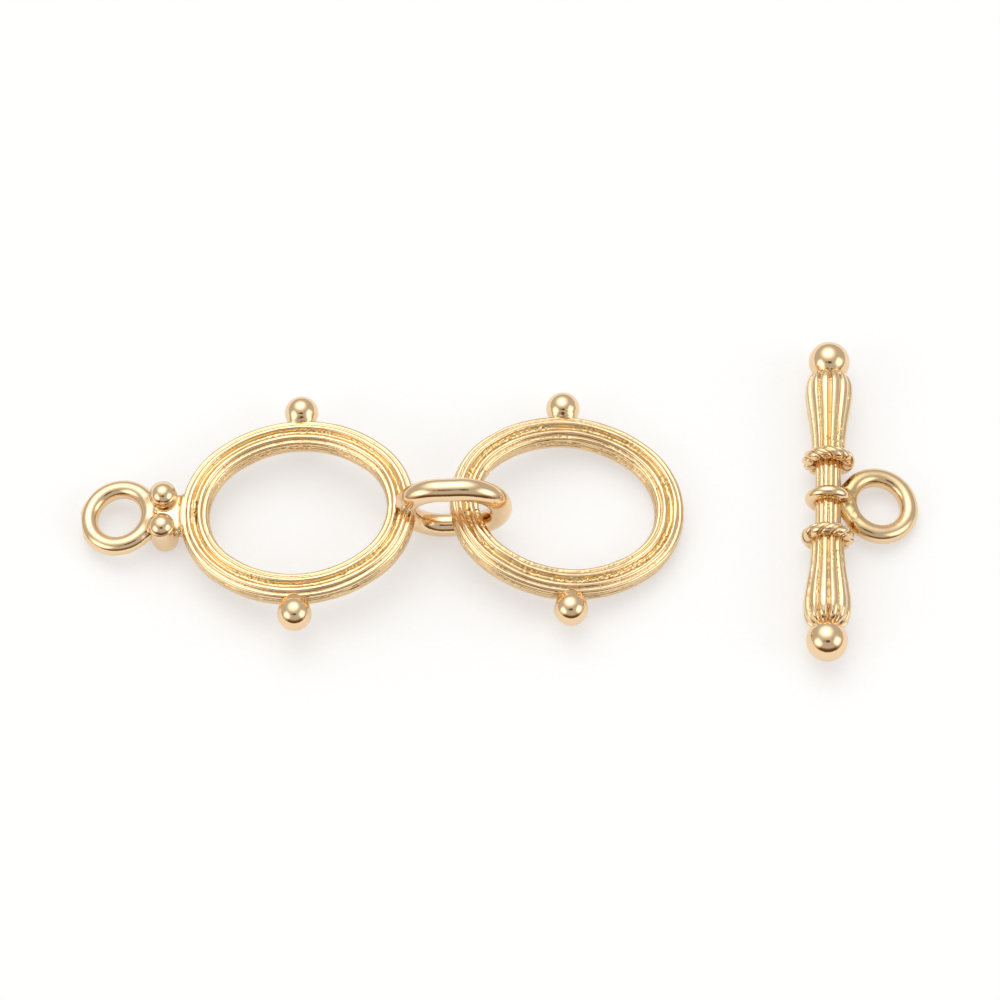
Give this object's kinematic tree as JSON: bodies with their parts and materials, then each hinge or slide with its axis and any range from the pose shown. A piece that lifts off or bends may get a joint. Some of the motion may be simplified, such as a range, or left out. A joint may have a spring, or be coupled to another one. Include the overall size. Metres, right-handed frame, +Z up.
{
  "type": "toggle clasp",
  "caption": "Toggle clasp lying open: two reeded oval rings joined by a soldered link, with a bail loop, and a loose fluted toggle bar with twisted collars and a side loop.",
  "frame": {"origin": "middle of the footprint of the two pieces as they lie, on the surface they lie on", "axes": "+X along the row of rings from the bail loop to the bar, +Y away from the viewer along the bar, +Z up"},
  "size_m": [0.0556, 0.0236, 0.0066],
  "materials": {
    "gold_plate": "polished gold plating on cast brass, a little rough in the grooves"
  },
  "bodies": {
    "root": {"first_ring": "gold_plate", "second_ring": "gold_plate", "toggle_bar": "gold_plate"}
  },
  "joints": []
}
